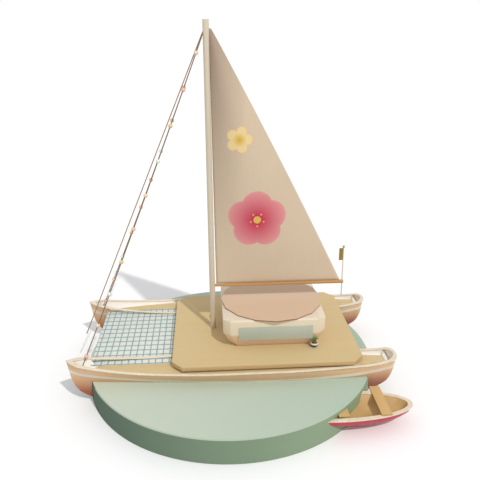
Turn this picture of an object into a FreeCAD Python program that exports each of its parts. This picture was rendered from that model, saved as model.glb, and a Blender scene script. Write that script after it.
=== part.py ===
import FreeCAD, Part
import math
import os

# Display model of a sailing catamaran on a round water base with a dinghy against it.
# Millimetres, +Z up, bow towards -X, near hull towards -Y.
# Origin: centre of the base's flat underside.

V = FreeCAD.Vector
os.makedirs("parts", exist_ok=True)
doc = FreeCAD.newDocument("catamaran_model")
sheet = doc.addObject("Spreadsheet::Sheet", "sizes")
sheet.Label = "sizes"

SIZES = [
    # base
    ("baseRadius", 136), ("baseThick", 23.2), ("baseEdge", 0.8),
    # where the boat's centre stands over the base
    ("boatX", 1.5), ("boatY", 15.2),
    # hulls
    ("hullSpacing", 119.2), ("keelZ", 2.5), ("wallThick", 1.8), ("endThick", 3.0),
    ("wellFloorZ", 32.2), ("pocketGap", 0.2),
    ("sheerZ", 34.6), ("sheerForeX", -60), ("sheerAftX", 119), ("bowCurve", 488), ("sternCurve", 131),
    ("railThick", 1.2), ("railProud", 0.7),
    ("deckThick", 1.8), ("deckTipX", -129), ("deckAftX", 139.5), ("deckHalfMid", 15.8), ("deckHalfAft", 5),
    ("barX", 142), ("barDia", 1.3),
    # platform between the hulls
    ("bridgeThick", 4.5), ("bridgeFrontX", -55.9), ("bridgeBackX", 118.4), ("bridgeHalf", 72.6),
    ("bridgeCornerX", 9.4), ("bridgeCornerY", 10.3),
    # net ahead of the platform
    ("netFrontX", -130.7), ("netBackX", -50), ("netHalf", 54.4), ("netThick", 0.4),
    ("netCord", 0.7), ("netRise", 0.2),
    ("netRows", 12), ("netCols", 12),
    # cabin
    ("cabinFrontX", -9.6), ("cabinLength", 96.2), ("cabinHalf", 45.1), ("cabinCorner", 6.7),
    ("cabinSkirt", 14.4), ("cabinWall", 13.9), ("cabinEave", 1.2), ("cabinEaveEnd", 6.7),
    ("cabinEaveSide", 1.2),
    ("windowLeft", 15.4), ("windowLength", 69.2), ("windowRise", 9.3), ("windowTall", 13.4),
    ("windowThick", 0.6),
    ("roofHalfX", 49.5), ("roofHalfY", 49.6), ("roofThick", 1.2), ("roofSides", 16),
    # mast, boom and sail
    ("mastX", -17.4), ("mastDia", 5.4), ("mastTopZ", 330.2), ("mastSeat", 2.0),
    ("boomZ", 86.3), ("boomEndX", 112), ("boomForeDia", 2.6), ("boomAftDia", 3.6),
    ("sailHeadZ", 322.8), ("sailClewX", 108.4), ("luffGap", 1.2), ("sailThick", 0.8), ("sailCamber", 5.0),
    ("leechRound", 1.6), ("headWidth", 1.6),
    # lines from the masthead
    ("stayTopZ", 320.4), ("stayEndX", -143.4), ("stayEndZ", 37.9), ("stayDia", 1.0),
    ("garlandTopZ", 318.4), ("garlandEndX", -138.6), ("garlandSag", 3.3), ("garlandDia", 0.9),
    ("beadDia", 3.9), ("beadPlay", 0.08), ("beadSides", 14),
    # flag
    ("poleX", 129.1), ("poleDia", 1.2), ("poleTopZ", 93.4), ("ballDia", 2.9),
    ("flagWide", 4.2), ("flagTall", 12), ("flagTopZ", 92.4), ("flagThick", 0.5),
    # plant pot
    ("potX", 76.8), ("potY", -45.0), ("potRadius", 3.7), ("potFoot", 2.2), ("potTall", 4.6), ("potWall", 0.5),
    # dinghy
    ("dinghyX", 88), ("dinghyY", -107.2), ("dinghyHalfLength", 64), ("dinghyHalfBeam", 21.8),
    ("dinghyTopZ", 18.6), ("gunwaleWide", 4.4), ("gunwaleThick", 1.1), ("dinghyDeep", 11),
    ("dinghyWell", 8.6),
    ("gunwaleProud", 0.5), ("thwartWide", 9.2), ("thwartThick", 1.2), ("foreThwartX", 120.4),
    ("aftThwartX", 84.3),
    ("thwartNearY", -123.8), ("thwartFarY", -82.6),
]
for row, (name, value) in enumerate(SIZES, start=1):
    sheet.set("A%d" % row, name)
    sheet.set("B%d" % row, str(value))
    sheet.setAlias("B%d" % row, name)
doc.recompute()


def size(name):
    return float(sheet.get(name))


def named(obj, label):
    obj.Label = label
    return obj


def bind(obj, **pairs):
    for prop, text in pairs.items():
        obj.setExpression(prop.replace("__", "."), text)


def feature(label, shape, base=None, turn=None):
    # One finished piece: its shape first, then its place and turn.
    obj = doc.addObject("Part::Feature", label)
    obj.Shape = shape
    if base is not None:
        obj.Placement = FreeCAD.Placement(base, turn or FreeCAD.Rotation())
    obj.Label = label
    return obj


def spline(points):
    # Smooth curve through points, spaced along it by the root of each chord so it doesn't swing wide.
    marks = [0.0]
    for a, b in zip(points, points[1:]):
        marks.append(marks[-1] + math.sqrt((b - a).Length))
    curve = Part.BSplineCurve()
    curve.interpolate(Points=points, Parameters=marks)
    return curve.toShape()


boatX, boatY = size("boatX"), size("boatY")
hullY = {"near": boatY - size("hullSpacing") / 2, "far": boatY + size("hullSpacing") / 2}
deckTopZ = size("wellFloorZ") + size("deckThick")
railTopZ = size("sheerZ") + size("railThick")
bridgeTopZ = railTopZ + size("bridgeThick")

# hull form
# Half-beams at eight stations along each waterline, from the stem to the stern:
# height, stem x, stern x, half-beams.
STATIONS = (0.04, 0.10, 0.25, 0.45, 0.65, 0.82, 0.93, 0.975)
WATERLINES = (
    (size("keelZ"), -126.0, 133.0, (0.35, 0.6, 1.2, 1.8, 2.0, 1.8, 1.4, 1.0)),
    (12.0, -141.0, 144.3, (1.0, 2.0, 4.4, 7.2, 8.8, 8.8, 7.2, 5.2)),
    (23.2, -146.8, 148.3, (2.4, 4.2, 8.0, 12.0, 14.0, 13.6, 11.4, 8.8)),
    (36.5, -149.3, 149.8, (6.6, 10.2, 16.0, 20.2, 20.0, 16.9, 14.0, 11.6)),
    (46.0, -150.8, 150.4, (9.0, 12.8, 18.2, 22.0, 21.4, 18.6, 15.0, 12.2)),
)


def waterline(z):
    # Stem x, stern x and half-beams at a height, between the two nearest waterlines.
    low, high = WATERLINES[0], WATERLINES[1]
    for a, b in zip(WATERLINES, WATERLINES[1:]):
        low, high = a, b
        if z <= b[0]:
            break
    t = (z - low[0]) / (high[0] - low[0])
    stem = low[1] + t * (high[1] - low[1])
    stern = low[2] + t * (high[2] - low[2])
    beams = [a + t * (b - a) for a, b in zip(low[3], high[3])]
    return stem, stern, beams


def planform(z, side, end):
    # Closed outline of a waterline, moved out by side at the flanks and by end at the tips.
    stem, stern, beams = waterline(z)
    xs = [stem + u * (stern - stem) for u in STATIONS]
    first, last = stem - end, stern + end
    flank = [V(x, b + side, z) for x, b in zip(xs, beams)]
    tail = V(last - 0.12 * flank[-1].y, 0.5 * flank[-1].y, z)
    port = [V(first, 0, z)] + flank + [tail, V(last, 0, z)]
    mirrored = [V(p.x, -p.y, z) for p in reversed(port)]
    # the stem is sharp, the stern is round
    a = spline(port)
    b = spline(mirrored)
    return Part.Wire([a, b])


def form(levels, side=0.0, end=0.0):
    return Part.makeLoft([planform(z, side, end) for z in levels], True, True)


def sheerAt(x):
    # Top of the hull wall: level amidships, an arc up to the bow and a tighter one up to the stern.
    z = size("sheerZ")
    if x < size("sheerForeX"):
        r, run = size("bowCurve"), size("sheerForeX") - x
        return z + r - math.sqrt(r * r - run * run)
    if x > size("sheerAftX"):
        r, run = size("sternCurve"), x - size("sheerAftX")
        return z + r - math.sqrt(r * r - run * run)
    return z


def above(raised):
    # Everything above the sheer line, raised by some amount, as a cutting block.
    ends = (-156, size("sheerForeX"), size("sheerAftX"), 156)
    p = [V(x, -40, sheerAt(x) + raised) for x in ends]
    bowMid, sternMid = (ends[0] + ends[1]) / 2, (ends[2] + ends[3]) / 2
    high = 70
    edges = [
        Part.Arc(p[0], V(bowMid, -40, sheerAt(bowMid) + raised), p[1]).toShape(),
        Part.LineSegment(p[1], p[2]).toShape(),
        Part.Arc(p[2], V(sternMid, -40, sheerAt(sternMid) + raised), p[3]).toShape(),
        Part.LineSegment(p[3], V(ends[3], -40, high)).toShape(),
        Part.LineSegment(V(ends[3], -40, high), V(ends[0], -40, high)).toShape(),
        Part.LineSegment(V(ends[0], -40, high), p[0]).toShape(),
    ]
    return Part.Face(Part.Wire(edges)).extrude(V(0, 80, 0))


levels = [w[0] for w in WATERLINES]
floorZ = size("wellFloorZ")
wall, endWall, proud = size("wallThick"), size("endThick"), size("railProud")
outer = form(levels)
wellTop = 47.0
inner = form([floorZ, 40.0, wellTop], -wall, -endWall)
hullShape = outer.cut(inner).cut(above(0))
railOuter = form([32.0, 36.5, 46.0], proud, proud)
railInner = form([31.9, 36.5, 46.1], -wall - proud, -endWall - proud)
railShape = railOuter.cut(railInner).cut(above(size("railThick"))).common(above(0))

# the net passes inboard over a lowered wall and under the rail
netTopZ = deckTopZ + size("netThick") + size("netRise")
netSlot = Part.makeBox(
    size("netBackX") - size("netFrontX") + 0.6, 60, netTopZ - deckTopZ, V(size("netFrontX") - 0.6, 0, deckTopZ)
)
hullShape = hullShape.cut(netSlot)

barZ = sheerAt(size("barX")) + size("railThick") / 2
barShape = Part.makeCylinder(size("barDia") / 2, 30, V(size("barX"), -15, barZ), V(0, 1, 0))
barShape = barShape.common(railInner)


def handed(shape, which):
    # The form is drawn with its inboard side at +Y; the far hull is its mirror image.
    return shape.mirror(V(0, 0, 0), V(0, 1, 0)) if which == "far" else shape.copy()


def hullPlace(which):
    return V(boatX, hullY[which], 0)


def placedHull(shape, which):
    out = handed(shape, which)
    out.translate(hullPlace(which))
    return out


# deck plank, lying on the well floor
def deckShape():
    z = floorZ
    tip, aft = size("deckTipX"), size("deckAftX")
    mid, tail = size("deckHalfMid"), size("deckHalfAft")
    run = [(tip, 0), (tip + 8, 0.13), (tip + 32, 0.40), (tip + 60, 0.64), (-25, 0.93), (25, 1.0)]
    run = [V(x, share * mid, z) for x, share in run]
    run += [V(75, 0.84 * mid, z), V(112, 0.52 * mid, z), V(aft, tail, z)]
    a = spline(run)
    b = Part.LineSegment(run[-1], V(aft, -tail, z)).toShape()
    c = spline([V(p.x, -p.y, z) for p in reversed(run)])
    return Part.Face(Part.Wire([a, b, c])).extrude(V(0, 0, size("deckThick")))


deckPlank = deckShape()
for which in ("near", "far"):
    feature(which + "_hull", handed(hullShape, which), hullPlace(which))
    feature(which + "_deck", handed(deckPlank, which), hullPlace(which))
    feature(which + "_crossbar", handed(barShape, which), hullPlace(which))

# flagpole, stepped in the far rail
stem, stern, beams = waterline(sheerAt(size("poleX")))
poleU = (size("poleX") - stem) / (stern - stem)
poleBeam = beams[6] + (beams[5] - beams[6]) * (STATIONS[6] - poleU) / (STATIONS[6] - STATIONS[5])
poleY = hullY["far"] + poleBeam - wall / 2
poleFootZ = sheerAt(size("poleX")) + 0.1
pole = doc.addObject("Part::Cylinder", "flagpole")
bind(pole, Radius="sizes.poleDia / 2", Height="sizes.poleTopZ - %s" % poleFootZ)
bind(pole, Placement__Base__x="sizes.poleX + sizes.boatX")
pole.Placement.Base = V(size("poleX") + boatX, poleY, poleFootZ)
ball = doc.addObject("Part::Sphere", "flagpole_ball")
bind(ball, Radius="sizes.ballDia / 2")
ball.Placement.Base = V(size("poleX") + boatX, poleY, size("poleTopZ") + size("ballDia") / 2)
flag = doc.addObject("Part::Box", "flag")
bind(flag, Length="sizes.flagWide", Width="sizes.flagThick", Height="sizes.flagTall")
flag.Placement.Base = V(
    size("poleX") + boatX - size("poleDia") / 2 - size("flagWide"),
    poleY - size("flagThick") / 2,
    size("flagTopZ") - size("flagTall"),
)
doc.recompute()
nearRail = placedHull(railShape, "near")
farRail = placedHull(railShape, "far").cut(pole.Shape)
feature("near_rail", nearRail)
feature("far_rail", farRail)

# base, with a pocket for each hull
pocketForm = form(levels, size("pocketGap"), size("pocketGap"))
disc = doc.addObject("Part::Cylinder", "base_disc")
bind(disc, Radius="sizes.baseRadius", Height="sizes.baseThick")
doc.recompute()
base = disc.Shape
level = [e for e in base.Edges if e.BoundBox.ZLength < 1e-6]
topEdge = [e for e in level if abs(e.BoundBox.ZMin - size("baseThick")) < 1e-6]
base = base.makeChamfer(size("baseEdge"), topEdge)
for which in ("near", "far"):
    base = base.cut(placedHull(pocketForm, which))
feature("water_base", base)

# platform
mastX = size("mastX") + boatX


def octagon(x0, x1, half, cornerX, cornerY, z, centreY=0.0):
    pts = [
        (x0, -half + cornerY), (x0 + cornerX, -half), (x1 - cornerX, -half), (x1, -half + cornerY),
        (x1, half - cornerY), (x1 - cornerX, half), (x0 + cornerX, half), (x0, half - cornerY),
    ]
    pts = [V(x, y + centreY, z) for x, y in pts]
    return Part.makePolygon(pts + [pts[0]])


bridge = doc.addObject("PartDesign::Body", "bridge_body")
bridge.Label = "bridge_deck"
plane = [f for f in bridge.Origin.OriginFeatures if f.Role == "XY_Plane"][0]
sk = bridge.newObject("Sketcher::SketchObject", "bridge_outline")
sk.AttachmentSupport = (plane, "")
sk.MapMode = "FlatFace"
x0, x1 = size("bridgeFrontX") + boatX, size("bridgeBackX") + boatX
hw, cx, cy = size("bridgeHalf"), size("bridgeCornerX"), size("bridgeCornerY")
ring = [
    (x0, boatY - hw + cy), (x0 + cx, boatY - hw), (x1 - cx, boatY - hw), (x1, boatY - hw + cy),
    (x1, boatY + hw - cy), (x1 - cx, boatY + hw), (x0 + cx, boatY + hw), (x0, boatY + hw - cy),
]
for i in range(8):
    a, b = ring[i], ring[(i + 1) % 8]
    sk.addGeometry(Part.LineSegment(V(a[0], a[1], 0), V(b[0], b[1], 0)), False)
pad = bridge.newObject("PartDesign::Pad", "bridge_pad")
pad.Profile = sk
bind(pad, Length="sizes.bridgeThick")
doc.recompute()
step = bridge.newObject("Sketcher::SketchObject", "mast_step")
step.AttachmentSupport = (plane, "")
step.MapMode = "FlatFace"
step.AttachmentOffset = FreeCAD.Placement(V(0, 0, size("bridgeThick") - size("mastSeat")), FreeCAD.Rotation())
step.addGeometry(Part.Circle(V(mastX, boatY, 0), V(0, 0, 1), size("mastDia") / 2), False)
stepHole = bridge.newObject("PartDesign::Pocket", "mast_hole")
stepHole.Profile = step
stepHole.Reversed = True
stepHole.Type = "ThroughAll"
bridge.Tip = stepHole
bridge.Placement.Base = V(0, 0, railTopZ)
doc.recompute()
solidVolume = pad.Shape.Volume
print("mast hole volume", round(solidVolume - stepHole.Shape.Volume, 2),
      "expected", round(math.pi * size("mastDia") ** 2 / 4 * size("mastSeat"), 2))

# net: a cloth panel with raised cords both ways
nx0, nx1 = size("netFrontX") + boatX, size("netBackX") + boatX
ny0, ny1 = boatY - size("netHalf"), boatY + size("netHalf")
panel = Part.makeBox(nx1 - nx0, ny1 - ny0, size("netThick"), V(nx0, ny0, deckTopZ))
cords = []
cord, rise = size("netCord"), size("netRise")
cols, rows = int(size("netCols")), int(size("netRows"))
for i in range(cols):
    x = nx0 + (i + 0.5) * (nx1 - nx0) / cols
    cords.append(Part.makeBox(cord, ny1 - ny0, rise, V(x - cord / 2, ny0, deckTopZ + size("netThick"))))
for j in range(rows):
    y = ny0 + (j + 0.5) * (ny1 - ny0) / rows
    cords.append(Part.makeBox(nx1 - nx0, cord, rise, V(nx0, y - cord / 2, deckTopZ + size("netThick"))))
net = panel.multiFuse(cords).removeSplitter()
feature("trampoline_net", net)

# cabin
c0, c1 = size("cabinFrontX") + boatX, size("cabinFrontX") + size("cabinLength") + boatX
ch, cc = size("cabinHalf"), size("cabinCorner")
z1 = bridgeTopZ + size("cabinSkirt")
z2 = z1 + size("cabinWall")
z3 = z2 + size("cabinEave")
eaveEnd, eaveSide = size("cabinEaveEnd"), size("cabinEaveSide")
skirt = Part.makeLoft([
    octagon(c0 + cc, c1 - cc, ch - cc, cc, cc, bridgeTopZ, boatY),
    octagon(c0, c1, ch, cc, cc, z1, boatY),
], True, True)
walls = Part.Face(octagon(c0, c1, ch, cc, cc, z1, boatY)).extrude(V(0, 0, z2 - z1))
shoulder = Part.makeLoft([
    octagon(c0, c1, ch, cc, cc, z2, boatY),
    octagon(c0 + eaveEnd, c1 - eaveEnd, ch - eaveSide, 0.5 * cc, cc - eaveSide, z3, boatY),
], True, True)
feature("cabin", skirt.fuse(walls).fuse(shoulder).removeSplitter())
window = doc.addObject("Part::Box", "cabin_window")
bind(window, Length="sizes.windowLength", Width="sizes.windowThick", Height="sizes.windowTall")
windowLow = V(c0 + size("windowLeft"), boatY - ch - size("windowThick"), bridgeTopZ + size("windowRise"))
window.Placement.Base = windowLow
roofSides = int(size("roofSides"))
roofRing = []
for i in range(roofSides + 1):
    turn = 2 * math.pi * i / roofSides
    across = size("roofHalfX") * math.cos(turn)
    roofRing.append(V((c0 + c1) / 2 + across, boatY + size("roofHalfY") * math.sin(turn), z3))
feature("cabin_roof", Part.Face(Part.makePolygon(roofRing)).extrude(V(0, 0, size("roofThick"))))

# mast and boom
mast = doc.addObject("Part::Cylinder", "mast")
mastFootZ = bridgeTopZ - size("mastSeat")
bind(mast, Radius="sizes.mastDia / 2", Height="sizes.mastTopZ - %s" % mastFootZ)
mast.Placement.Base = V(mastX, boatY, mastFootZ)
doc.recompute()
boomCone = Part.makeCone(
    size("boomForeDia") / 2, size("boomAftDia") / 2, size("boomEndX") + boatX - mastX,
    V(mastX, boatY, size("boomZ")), V(1, 0, 0)
)
feature("boom", boomCone.cut(mast.Shape))

# sail: level strips, bellied towards -Y, laid on the boom
clewX = size("sailClewX") + boatX
headZ = size("sailHeadZ")
thick = size("sailThick")


def boomTop(x):
    t = (x - mastX) / (size("boomEndX") + boatX - mastX)
    return size("boomZ") + (size("boomForeDia") * (1 - t) + size("boomAftDia") * t) / 2


footZ = boomTop(clewX)


def sailStrip(share):
    # Level section of the sail, share 0 at the foot and 1 at the head.
    z = footZ + share * (headZ - footZ)
    luff = mastX + size("mastDia") / 2 + size("luffGap") * (1 - share) + 0.02
    leech = clewX + share * (luff + size("headWidth") - clewX) + 4 * size("leechRound") * share * (1 - share)
    wide = (leech - luff) / (clewX - mastX)
    belly = size("sailCamber") * math.sin(math.pi * min(1.0, share * 1.02)) * wide * 1.9
    belly = max(belly, 0.001)
    mid = luff + 0.45 * (leech - luff)
    y = boatY
    a = Part.Arc(V(luff, y, z), V(mid, y - belly, z), V(leech, y, z)).toShape()
    b = Part.LineSegment(V(leech, y, z), V(leech, y + thick, z)).toShape()
    c = Part.Arc(V(leech, y + thick, z), V(mid, y + thick - belly, z), V(luff, y + thick, z)).toShape()
    d = Part.LineSegment(V(luff, y + thick, z), V(luff, y, z)).toShape()
    return Part.Wire([a, b, c, d])


sail = Part.makeLoft([sailStrip(s) for s in (0.0, 0.2, 0.4, 0.6, 0.8, 1.0)], True, True)
sail.translate(V(0, -thick / 2, 0))
feature("sail", sail)

# forestay: straight, its lower end free
stayTop = V(mastX - size("mastDia") / 2 + 0.15, boatY, size("stayTopZ"))
stayEnd = V(size("stayEndX") + boatX, boatY, size("stayEndZ"))
run = stayEnd - stayTop
stay = Part.makeCylinder(size("stayDia") / 2, run.Length, stayTop, run)
feature("forestay", stay.cut(mast.Shape))
print("forestay", round(run.Length, 1))

# garlands: one shallow arc each, ten beads on each
beadR = size("beadDia") / 2
holeR = (size("garlandDia") + size("beadPlay")) / 2
lip = math.sqrt(beadR ** 2 - holeR ** 2)
beadRing = [V(holeR, 0, -lip)]
for turn in (-50, -18, 18, 50):
    beadRing.append(V(beadR * math.cos(math.radians(turn)), 0, beadR * math.sin(math.radians(turn))))
beadRing.append(V(holeR, 0, lip))
sides = int(size("beadSides"))
beadRings = []
apart = 2 * math.pi / sides
for p in beadRing:
    beadRings.append([V(p.x * math.cos(apart * k), p.x * math.sin(apart * k), p.z) for k in range(sides)])
beadFaces = []
for low, high in zip(beadRings, beadRings[1:] + beadRings[:1]):
    for k in range(sides):
        after = (k + 1) % sides
        beadFaces.append(Part.Face(Part.makePolygon([low[k], low[after], high[after], high[k], low[k]])))
bead = Part.Solid(Part.makeShell(beadFaces))
for which in ("near", "far"):
    side = -1 if which == "near" else 1
    away = V(size("garlandEndX") + boatX - mastX, hullY[which] - boatY, 0).normalize()
    top = V(mastX, boatY, size("garlandTopZ")) + away * ((size("mastDia") + size("garlandDia")) / 2 + 0.02)
    end = V(size("garlandEndX") + boatX, hullY[which], floorZ + size("garlandDia") * 0.25)
    mid = (top + end) * 0.5 - V(0, 0, size("garlandSag"))
    sagged = Part.Arc(top, mid, end).toShape()
    arc = sagged.Curve
    radius = arc.Radius
    u0, u1 = sagged.FirstParameter, sagged.LastParameter
    start = arc.tangent(u0)[0]
    ring = Part.Face(Part.Wire([Part.Circle(top, start, size("garlandDia") / 2).toShape()]))
    turn = (top - arc.Center).cross(mid - arc.Center)
    tube = ring.revolve(arc.Center, turn, math.degrees(u1 - u0))
    feature(which + "_garland", tube)
    print(which, "garland length", round(sagged.Length, 1), "radius", round(radius, 1),
          "volume ratio", round(tube.Volume / (sagged.Length * math.pi * size("garlandDia") ** 2 / 4), 3))
    for i in range(10):
        u = u0 + (i + 0.5) / 10 * (u1 - u0)
        centre = arc.value(u)
        along = arc.tangent(u)[0]
        feature("%s_bead_%02d" % (which, i + 1), bead, centre, FreeCAD.Rotation(V(0, 0, 1), along))

# plant pot
potX, potY = size("potX") + boatX, size("potY") + boatY
pr, pf, pt, pw = size("potRadius"), size("potFoot"), size("potTall"), size("potWall")
profile = [
    V(0, 0, 0), V(pf, 0, 0), V(pf + 0.62 * (pr - pf), 0, 0.34 * pt), V(pr, 0, pt),
    V(pr - pw, 0, pt), V(pr - pw - 0.25, 0, pt - 1.0), V(0, 0, pt - 1.0),
]
bowl = Part.Face(Part.makePolygon(profile + [profile[0]])).revolve(V(0, 0, 0), V(0, 0, 1), 360)
feature("plant_pot", bowl, V(potX, potY, bridgeTopZ))
soilZ = bridgeTopZ + pt - 1.0
leafParts = [Part.makeCylinder(pr - pw - 0.3, 0.5, V(potX, potY, soilZ))]
for i in range(7):
    lean = 36 if i else 0
    spread, tall = 1.0, 3.9
    half = spread / 2
    foot = [V(-half, -0.35, 0), V(half, -0.35, 0), V(half, 0.35, 0), V(-half, 0.35, 0)]
    midZ = 0.6 * tall
    broad = [V(-spread, -0.25, midZ), V(spread, -0.25, midZ), V(spread, 0.25, midZ), V(-spread, 0.25, midZ)]
    tip = [V(-0.12, -0.1, tall), V(0.12, -0.1, tall), V(0.12, 0.1, tall), V(-0.12, 0.1, tall)]
    leaf = Part.makeLoft([Part.makePolygon(q + [q[0]]) for q in (foot, broad, tip)], True, True)
    leaf.rotate(V(0, 0, 0), V(1, 0, 0), -lean)
    leaf.rotate(V(0, 0, 0), V(0, 0, 1), i * 60)
    leaf.translate(V(potX, potY, soilZ + 0.42))
    leafParts.append(leaf)
feature("plant", leafParts[0].multiFuse(leafParts[1:]).removeSplitter())

# dinghy, cut to the base's rim and glued against it
dx, dy = size("dinghyX") + boatX, size("dinghyY") + boatY
hl, hb = size("dinghyHalfLength"), size("dinghyHalfBeam")
top, deep = size("dinghyTopZ"), size("dinghyDeep")
gw, gt = size("gunwaleWide"), size("gunwaleThick")
rimDisc = disc.Shape


def oval(a, b, z):
    return Part.Wire([Part.Ellipse(V(dx, dy, z), a, b).toShape()])


def ovalPlate(a, b, z0, z1):
    edge = Part.Ellipse(V(dx, dy, z0), a, b).toShape()
    return Part.Face(Part.Wire([edge])).extrude(V(0, 0, z1 - z0))


seatZ = top - gt
gp = size("gunwaleProud")
dinghyFloorZ = top - size("dinghyWell")
ovals = ((1.0, 1.0, 0.0), (0.975, 0.94, 0.3), (0.90, 0.79, 0.68), (0.74, 0.56, 1.0))
outerRings = [oval((hl - gp) * p, (hb - gp) * q, seatZ - share * deep) for p, q, share in ovals]
shellOuter = Part.makeLoft(outerRings, True, True)
innerRings = [oval(0.93 * (hl - gw), 0.84 * (hb - gw), dinghyFloorZ), oval(hl - gw, hb - gw, seatZ)]
shellInner = Part.makeLoft(innerRings, True, True)
dinghyHull = shellOuter.cut(shellInner).cut(rimDisc)
gunwale = ovalPlate(hl, hb, seatZ, top).cut(ovalPlate(hl - gw, hb - gw, seatZ - 1, top + 1)).cut(rimDisc)
feature("dinghy_hull", dinghyHull)
feature("dinghy_gunwale", gunwale)
tw, tt = size("thwartWide"), size("thwartThick")
n, f = size("thwartNearY") + boatY, size("thwartFarY") + boatY
for label, x in (("dinghy_fore_thwart", size("foreThwartX")), ("dinghy_aft_thwart", size("aftThwartX"))):
    plank = Part.makeBox(tw, f - n, tt, V(x + boatX, n, top))
    feature(label, plank.cut(rimDisc))

doc.recompute()

# checks and export
SKIP = ("sizes", "base_disc")
written = []
for obj in doc.Objects:
    states = [str(s) for s in obj.State]
    if "Invalid" in states or "Error" in states:
        raise RuntimeError("%s is in state %s" % (obj.Name, states))
tops = [o for o in doc.Objects if o.isDerivedFrom("Part::Feature") and not o.getParentGeoFeatureGroup()]
for obj in tops:
    if obj.Label in SKIP or obj.TypeId.startswith("Sketcher"):
        continue
    shape = obj.Shape
    if shape.isNull() or not shape.isValid() or not shape.Solids:
        raise RuntimeError("bad shape: " + obj.Label)
    if len(shape.Solids) != 1:
        print("note:", obj.Label, "has", len(shape.Solids), "solids")
    shape.exportStep("parts/%s.step" % obj.Label)
    written.append(obj.Label)
print(len(written), "pieces")
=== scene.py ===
import bpy
import bmesh
import math
from mathutils import Vector, Matrix


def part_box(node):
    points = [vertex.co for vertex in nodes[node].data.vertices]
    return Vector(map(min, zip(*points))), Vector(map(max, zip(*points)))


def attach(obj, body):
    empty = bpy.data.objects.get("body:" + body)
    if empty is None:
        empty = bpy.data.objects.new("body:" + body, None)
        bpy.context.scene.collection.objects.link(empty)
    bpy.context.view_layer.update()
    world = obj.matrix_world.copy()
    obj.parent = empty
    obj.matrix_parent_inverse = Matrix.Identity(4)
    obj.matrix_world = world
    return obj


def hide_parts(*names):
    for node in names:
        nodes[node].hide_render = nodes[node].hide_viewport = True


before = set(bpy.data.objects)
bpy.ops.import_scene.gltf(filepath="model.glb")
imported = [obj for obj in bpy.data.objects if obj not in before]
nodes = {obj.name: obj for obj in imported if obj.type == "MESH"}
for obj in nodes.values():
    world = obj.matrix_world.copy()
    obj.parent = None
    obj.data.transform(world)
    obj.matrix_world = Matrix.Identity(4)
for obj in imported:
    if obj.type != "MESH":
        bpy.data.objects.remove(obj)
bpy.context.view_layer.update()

bpy.context.scene.view_settings.view_transform = "Standard"
mm = 0.001
boatX, boatY = 1.5 * mm, 15.2 * mm


# colours and node helpers
def srgb(r, g, b):
    def lin(c):
        c = c / 255
        return c / 12.92 if c <= 0.04045 else ((c + 0.055) / 1.055) ** 2.4
    return (lin(r), lin(g), lin(b), 1.0)


def newGroup(name, inputs, outputs):
    group = bpy.data.node_groups.new(name, "ShaderNodeTree")
    for label, kind, value in inputs:
        sock = group.interface.new_socket(name=label, in_out="INPUT", socket_type=kind)
        if value is not None:
            sock.default_value = value
    for label, kind in outputs:
        group.interface.new_socket(name=label, in_out="OUTPUT", socket_type=kind)
    return group, group.nodes.new("NodeGroupInput"), group.nodes.new("NodeGroupOutput")


class Graph:
    # a short way to add nodes to a tree and join them
    def __init__(self, tree):
        self.tree = tree

    def add(self, kind, **settings):
        node = self.tree.nodes.new(kind)
        for key, value in settings.items():
            setattr(node, key, value)
        return node

    def put(self, sock, value):
        if isinstance(value, bpy.types.NodeSocket):
            self.tree.links.new(value, sock)
        elif value is not None:
            sock.default_value = value

    def math(self, op, a, b=None, c=None):
        node = self.add("ShaderNodeMath", operation=op)
        for i, value in enumerate((a, b, c)):
            if value is not None:
                self.put(node.inputs[i], value)
        return node.outputs[0]

    def times(self, a, b):
        return self.math("MULTIPLY", a, b)

    def vec(self, op, a, b=None):
        node = self.add("ShaderNodeVectorMath", operation=op)
        self.put(node.inputs[0], a)
        if b is not None:
            self.put(node.inputs[1], b)
        return node.outputs["Value"] if op in ("LENGTH", "DISTANCE", "DOT_PRODUCT") else node.outputs[0]

    def noise(self, vector, scale, detail=3.0, rough=0.5, twist=0.0):
        node = self.add("ShaderNodeTexNoise")
        self.put(node.inputs["Vector"], vector)
        self.put(node.inputs["Scale"], scale)
        node.inputs["Detail"].default_value = detail
        node.inputs["Roughness"].default_value = rough
        node.inputs["Distortion"].default_value = twist
        return node.outputs["Fac"]

    def remap(self, value, a, b, c=0.0, d=1.0):
        node = self.add("ShaderNodeMapRange", clamp=True)
        self.put(node.inputs["Value"], value)
        for label, v in (("From Min", a), ("From Max", b), ("To Min", c), ("To Max", d)):
            self.put(node.inputs[label], v)
        return node.outputs["Result"]

    def split(self, vector):
        node = self.add("ShaderNodeSeparateXYZ")
        self.put(node.inputs[0], vector)
        return node.outputs

    def facing(self, way):
        # 1 where the surface looks that way, -1 where it looks the other way
        return self.vec("DOT_PRODUCT", self.add("ShaderNodeNewGeometry").outputs["Normal"], way)

    def mix(self, fac, a, b):
        # the colour sockets of this node are numbers 6, 7 and 2
        node = self.add("ShaderNodeMix", data_type="RGBA")
        self.put(node.inputs["Factor"], fac)
        self.put(node.inputs[6], a)
        self.put(node.inputs[7], b)
        return node.outputs[2]

    def group(self, group, **values):
        node = self.add("ShaderNodeGroup", node_tree=group)
        for key, value in values.items():
            self.put(node.inputs[key.replace("_", " ")], value)
        return node


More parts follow.
